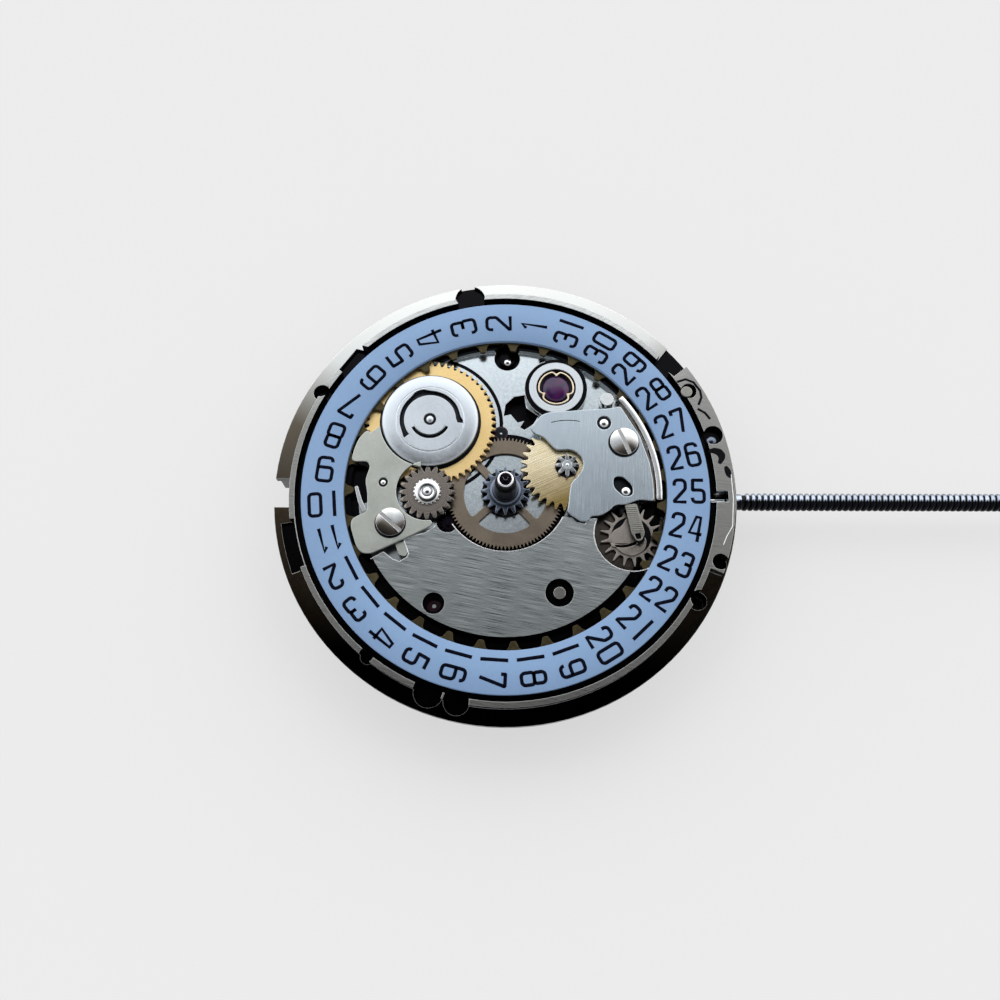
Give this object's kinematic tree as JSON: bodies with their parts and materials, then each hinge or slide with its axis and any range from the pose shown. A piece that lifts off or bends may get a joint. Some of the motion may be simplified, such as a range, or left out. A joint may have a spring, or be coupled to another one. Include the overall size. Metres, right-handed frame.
{
  "type": "automatic watch movement",
  "caption": "Automatic mechanical watch movement without dial or hands, date ring side up, with a long uncut winding stem and a half-disc oscillating weight underneath.",
  "frame": {"origin": "centre of the movement in the plane of the dial seat", "axes": "+Z from the movement towards the dial, +X along the winding stem to its free end, +Y towards 12 o'clock"},
  "size_m": [0.0446, 0.026, 0.0067],
  "materials": {
    "rhodium_plate": "fine satin, pale blue-grey",
    "ring_blue": "matt sky blue with dark numerals",
    "bright_steel": "polished",
    "grey_steel": "bead-blasted",
    "gilt_brass": "fine matt gilding",
    "blued_steel": "blued",
    "dark_steel": "matt dark",
    "ruby": "polished synthetic ruby",
    "rotor_gold": "satin",
    "heavy_metal": "turned heavy alloy"
  },
  "bodies": {
    "frame": {"mainplate": "rhodium_plate", "date_ring_keeper": "grey_steel", "calendar_bridge": "rhodium_plate", "corrector_lever": "grey_steel", "calendar_screws": "bright_steel", "shock_block_front": "bright_steel", "shock_spring_front": "gilt_brass", "cap_jewel_front": "ruby", "plate_jewels": "ruby", "lever_jumper": "grey_steel", "barrel_bridge": "rhodium_plate", "train_bridge": "rhodium_plate", "bridge_screws": "bright_steel", "bridge_jewels": "ruby", "pallet_bridge": "rhodium_plate", "hairspring": "blued_steel", "balance_cock": "rhodium_plate", "regulator": "bright_steel", "shock_block_back": "bright_steel", "cap_jewel_back": "ruby", "click_spring": "bright_steel", "automatic_bridge": "rhodium_plate", "automatic_screws": "bright_steel", "rotor_bearing": "bright_steel", "rotor_screw": "bright_steel"},
    "date_ring": {"date_ring": "ring_blue"},
    "date_jumper": {"date_jumper": "bright_steel"},
    "corrector_wheel": {"corrector_wheel": "bright_steel"},
    "date_drive": {"date_driving_wheel": "gilt_brass", "date_finger_disc": "bright_steel"},
    "date_intermediate_wheel": {"date_intermediate_wheel": "bright_steel"},
    "minute_wheel": {"minute_wheel": "gilt_brass"},
    "cannon_pinion": {"cannon_pinion": "blued_steel"},
    "cannon_driving_wheel": {"cannon_driving_wheel": "dark_steel"},
    "setting_wheel": {"setting_wheel": "bright_steel"},
    "winding_pinion": {"winding_pinion": "bright_steel"},
    "winding_stem": {"winding_stem": "bright_steel"},
    "sliding_pinion": {"sliding_pinion": "bright_steel"},
    "setting_lever": {"setting_lever": "grey_steel"},
    "yoke": {"yoke": "grey_steel"},
    "barrel": {"barrel_drum": "gilt_brass", "barrel_cover": "gilt_brass", "mainspring": "dark_steel"},
    "barrel_arbor": {"barrel_arbor": "bright_steel", "ratchet_wheel": "bright_steel"},
    "crown_wheel": {"crown_wheel": "bright_steel"},
    "click": {"click": "bright_steel"},
    "intermediate_wheel": {"intermediate_wheel": "gilt_brass"},
    "third_wheel": {"third_wheel": "gilt_brass"},
    "seconds_wheel": {"seconds_wheel": "gilt_brass"},
    "escape_wheel": {"escape_wheel": "bright_steel"},
    "pallet_fork": {"pallet_fork": "bright_steel", "pallet_stones": "ruby"},
    "balance": {"balance_wheel": "gilt_brass", "balance_staff": "bright_steel"},
    "reduction_wheel": {"reduction_wheel": "gilt_brass"},
    "reversing_wheel_a": {"reversing_wheel_a": "bright_steel"},
    "reversing_wheel_b": {"reversing_wheel_b": "bright_steel"},
    "rotor": {"rotor_plate": "rotor_gold", "rotor_rim": "heavy_metal"}
  },
  "joints": [
    {"name": "seconds_turn", "type": "hinge", "parent": "frame", "child": "seconds_wheel", "pos_m": [0, 0, 0], "axis": [0, 0, 1], "continuous": true},
    {"name": "third_turn", "type": "hinge", "parent": "frame", "child": "third_wheel", "pos_m": [-0.00321, -0.00185, 0], "axis": [0, 0, 1], "continuous": true},
    {"name": "intermediate_turn", "type": "hinge", "parent": "frame", "child": "intermediate_wheel", "pos_m": [-0.0039, -0.00644, 0], "axis": [0, 0, 1], "continuous": true},
    {"name": "barrel_turn", "type": "hinge", "parent": "frame", "child": "barrel", "pos_m": [0.00295, -0.00585, 0], "axis": [0, 0, 1], "continuous": true},
    {"name": "cannon_drive_turn", "type": "hinge", "parent": "frame", "child": "cannon_driving_wheel", "pos_m": [0, 0, 0], "axis": [0, 0, 1], "continuous": true},
    {"name": "escape_turn", "type": "hinge", "parent": "frame", "child": "escape_wheel", "pos_m": [-0.0025, 0.00265, 0], "axis": [0, 0, 1], "continuous": true},
    {"name": "minute_hand_turn", "type": "hinge", "parent": "frame", "child": "cannon_pinion", "pos_m": [0, 0, 0], "axis": [0, 0, 1], "continuous": true},
    {"name": "minute_wheel_turn", "type": "hinge", "parent": "frame", "child": "minute_wheel", "pos_m": [0.00347, 0.00144, 0], "axis": [0, 0, 1], "continuous": true},
    {"name": "setting_wheel_turn", "type": "hinge", "parent": "frame", "child": "setting_wheel", "pos_m": [0.00672, -0.0001, 0], "axis": [0, 0, 1], "continuous": true},
    {"name": "date_drive_turn", "type": "hinge", "parent": "frame", "child": "date_drive", "pos_m": [-0.0043, 0.00415, 0], "axis": [0, 0, 1], "continuous": true},
    {"name": "date_intermediate_turn", "type": "hinge", "parent": "frame", "child": "date_intermediate_wheel", "pos_m": [-0.00437, -0.00011, 0], "axis": [0, 0, 1], "continuous": true},
    {"name": "date_ring_turn", "type": "hinge", "parent": "frame", "child": "date_ring", "pos_m": [0, 0, 0], "axis": [0, 0, 1], "continuous": true},
    {"name": "corrector_turn", "type": "hinge", "parent": "frame", "child": "corrector_wheel", "pos_m": [0.007, -0.00255, 0], "axis": [0, 0, 1], "continuous": true},
    {"name": "date_jumper_flex", "type": "hinge", "parent": "frame", "child": "date_jumper", "pos_m": [0.00581, 0.00542, 0], "axis": [0, 0, 1], "range_deg": [-1.2, 0]},
    {"name": "balance_swing", "type": "hinge", "parent": "frame", "child": "balance", "pos_m": [0.00292, 0.00625, 0], "axis": [0, 0, 1], "range_deg": [-270, 270]},
    {"name": "pallet_swing", "type": "hinge", "parent": "frame", "child": "pallet_fork", "pos_m": [-0.00025, 0.00365, 0], "axis": [0, 0, 1], "range_deg": [-5, 5]},
    {"name": "crown_turn", "type": "hinge", "parent": "frame", "child": "winding_pinion", "pos_m": [0, 0, -0.0025], "axis": [1, 0, 0], "continuous": true},
    {"name": "crown_wheel_turn", "type": "hinge", "parent": "frame", "child": "crown_wheel", "pos_m": [0.00716, -0.00083, 0], "axis": [0, 0, 1], "continuous": true},
    {"name": "ratchet_turn", "type": "hinge", "parent": "frame", "child": "barrel_arbor", "pos_m": [0.00295, -0.00585, 0], "axis": [0, 0, 1], "continuous": true},
    {"name": "reduction_turn", "type": "hinge", "parent": "frame", "child": "reduction_wheel", "pos_m": [-0.00108, -0.00352, 0], "axis": [0, 0, 1], "continuous": true},
    {"name": "stem_pull", "type": "slide", "parent": "winding_pinion", "child": "winding_stem", "axis": [1, 0, 0], "range_m": [0, 0.0009]},
    {"name": "sliding_pinion_slide", "type": "slide", "parent": "winding_pinion", "child": "sliding_pinion", "axis": [1, 0, 0], "range_m": [-0.0006, 0]},
    {"name": "setting_lever_swing", "type": "hinge", "parent": "frame", "child": "setting_lever", "pos_m": [0.01065, 0.0023, 0], "axis": [0, 0, 1], "range_deg": [0, 29.8]},
    {"name": "yoke_swing", "type": "hinge", "parent": "frame", "child": "yoke", "pos_m": [0.00655, 0.0025, 0], "axis": [0, 0, 1], "range_deg": [-19.8, 0]},
    {"name": "click_swing", "type": "hinge", "parent": "frame", "child": "click", "pos_m": [-0.00172, -0.00803, 0], "axis": [0, 0, 1], "range_deg": [0, 12]},
    {"name": "rotor_turn", "type": "hinge", "parent": "frame", "child": "rotor", "pos_m": [0, 0, 0], "axis": [0, 0, 1], "continuous": true},
    {"name": "reversing_a_turn", "type": "hinge", "parent": "frame", "child": "reversing_wheel_a", "pos_m": [-0.00246, -0.00163, 0], "axis": [0, 0, 1], "continuous": true},
    {"name": "reversing_b_turn", "type": "hinge", "parent": "frame", "child": "reversing_wheel_b", "pos_m": [-0.00389, 0.00107, 0], "axis": [0, 0, 1], "continuous": true}
  ],
  "couplings": [
    {"joint": "third_turn", "follows": "seconds_turn", "ratio": -0.13333},
    {"joint": "intermediate_turn", "follows": "seconds_turn", "ratio": 0.016667},
    {"joint": "barrel_turn", "follows": "seconds_turn", "ratio": -0.0041096},
    {"joint": "cannon_drive_turn", "follows": "seconds_turn", "ratio": 0.016667},
    {"joint": "escape_turn", "follows": "seconds_turn", "ratio": -12},
    {"joint": "minute_wheel_turn", "follows": "minute_hand_turn", "ratio": -0.51613},
    {"joint": "setting_wheel_turn", "follows": "minute_hand_turn", "ratio": 1.1429},
    {"joint": "date_intermediate_turn", "follows": "date_drive_turn", "ratio": -6.2222},
    {"joint": "date_ring_turn", "follows": "date_drive_turn", "ratio": 0.032258},
    {"joint": "crown_wheel_turn", "follows": "crown_turn", "ratio": 0.4},
    {"joint": "ratchet_turn", "follows": "crown_turn", "ratio": -0.25},
    {"joint": "reduction_turn", "follows": "crown_turn", "ratio": 1.6667},
    {"joint": "sliding_pinion_slide", "follows": "stem_pull", "ratio": -0.66667},
    {"joint": "setting_lever_swing", "follows": "stem_pull", "rad_per_m": 575},
    {"joint": "yoke_swing", "follows": "stem_pull", "rad_per_m": -382},
    {"joint": "reversing_a_turn", "follows": "rotor_turn", "ratio": -0.93333},
    {"joint": "reversing_b_turn", "follows": "rotor_turn", "ratio": 0.93333}
  ]
}
